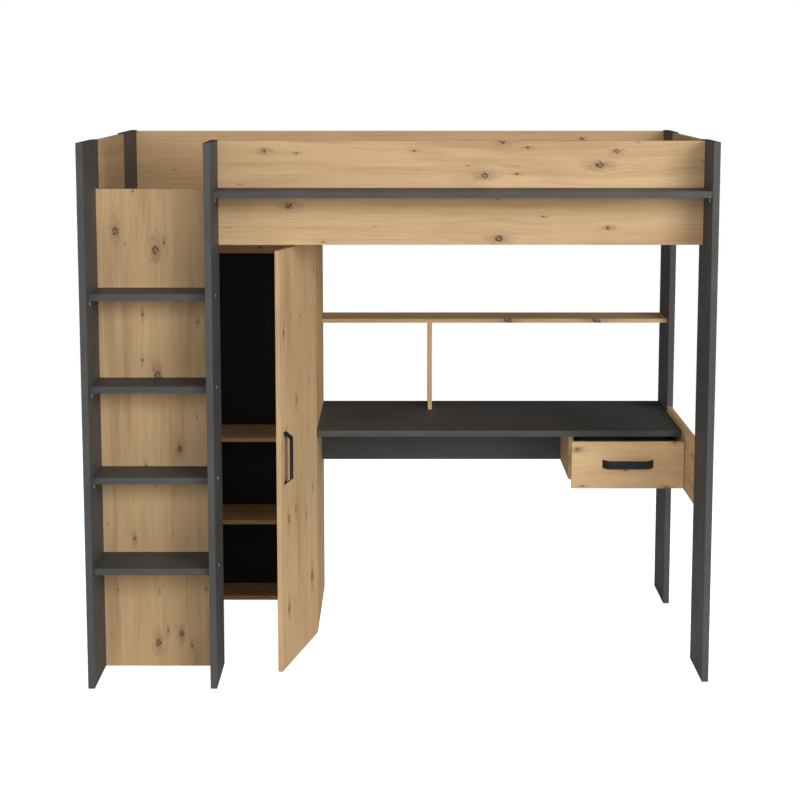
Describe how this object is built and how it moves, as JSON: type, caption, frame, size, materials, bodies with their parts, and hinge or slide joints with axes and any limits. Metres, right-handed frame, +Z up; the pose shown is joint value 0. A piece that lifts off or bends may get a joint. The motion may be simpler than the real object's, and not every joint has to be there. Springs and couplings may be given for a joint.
{
  "type": "loft bed with desk",
  "caption": "Loft bed in oak-look and graphite board with a stepped ladder, a wardrobe with a hinged door, and a desk with a drawer and a hutch shelf under the bed.",
  "frame": {"origin": "on the floor, in the middle of the overall width and depth at rest", "axes": "+X to the right seen from the front, +Y to the rear, +Z up"},
  "size_m": [2.054, 1.18, 1.793],
  "materials": {
    "oak_board": "matt wood-grain melamine with knots, oak tone",
    "graphite_board": "matt graphite grey melamine",
    "pine": "planed pine",
    "beech": "fluted beech",
    "black_back": "matt black hardboard",
    "drawer_board": "matt grey foil",
    "steel": "zinc-plated steel",
    "runner_steel": "white powder coat",
    "black_metal": "satin black powder coat",
    "nylon": "natural nylon"
  },
  "bodies": {
    "root": {"angle_brackets": "steel", "bracket_screws": "steel", "cabinet_runners": "runner_steel", "cleat_screws": "steel", "desk_rear_panel": "graphite_board", "desk_side_panel": "oak_board", "desk_top": "graphite_board", "dowels": "beech", "drawer_support": "oak_board", "end_panel_left": "oak_board", "end_panel_right": "oak_board", "guard_lower": "oak_board", "guard_rail": "graphite_board", "guard_upper": "oak_board", "hinge_arms": "steel", "hinge_plates": "steel", "hutch_divider": "oak_board", "hutch_shelf": "oak_board", "ladder_panel": "oak_board", "ladder_step_1": "graphite_board", "ladder_step_2": "graphite_board", "ladder_step_3": "graphite_board", "ladder_step_4": "graphite_board", "post_front_left": "graphite_board", "post_front_right": "graphite_board", "post_ladder_right": "graphite_board", "post_rear_left": "graphite_board", "post_rear_right": "graphite_board", "rear_panel": "oak_board", "shelf_pins": "steel", "slat_cleat_front": "pine", "slat_cleat_ladder": "pine", "slat_cleat_rear": "pine", "slats": "pine", "step_screws": "steel", "wardrobe_back": "black_back", "wardrobe_bottom": "oak_board", "wardrobe_shelf_lower": "oak_board", "wardrobe_shelf_upper": "oak_board", "wardrobe_side_left": "oak_board", "wardrobe_side_right": "oak_board", "wardrobe_traverse": "oak_board"},
    "door": {"door": "oak_board", "door_handle": "black_metal", "door_handle_screws": "steel", "hinge_cups": "steel"},
    "drawer": {"drawer_front": "oak_board", "drawer_side_left": "drawer_board", "drawer_side_right": "drawer_board", "drawer_back": "drawer_board", "drawer_bottom": "drawer_board", "drawer_handle": "black_metal", "drawer_handle_screws": "steel", "drawer_dowels": "beech", "drawer_runners": "runner_steel"},
    "front_rollers": {"front_rollers": "nylon"},
    "rear_rollers": {"rear_rollers": "nylon"}
  },
  "joints": [
    {"name": "door_hinge", "type": "hinge", "parent": "root", "child": "door", "pos_m": [-0.297, -0.019, 0.72], "axis": [0, 0, 1], "range_deg": [-76.8, 33.2]},
    {"name": "drawer_slide", "type": "slide", "parent": "root", "child": "drawer", "axis": [0, -1, 0], "range_m": [-0.142, 0.093]},
    {"name": "front_roller_spin", "type": "hinge", "parent": "root", "child": "front_rollers", "pos_m": [0.8158, 0.094, 0.5805], "axis": [1, 0, 0], "range_deg": [-690, 450]},
    {"name": "rear_roller_spin", "type": "hinge", "parent": "drawer", "child": "rear_rollers", "pos_m": [0.8158, 0.223, 0.5805], "axis": [1, 0, 0], "range_deg": [-690, 450]}
  ],
  "couplings": [
    {"joint": "front_roller_spin", "follows": "drawer_slide", "rad_per_m": 83.333},
    {"joint": "rear_roller_spin", "follows": "drawer_slide", "rad_per_m": 83.333}
  ]
}
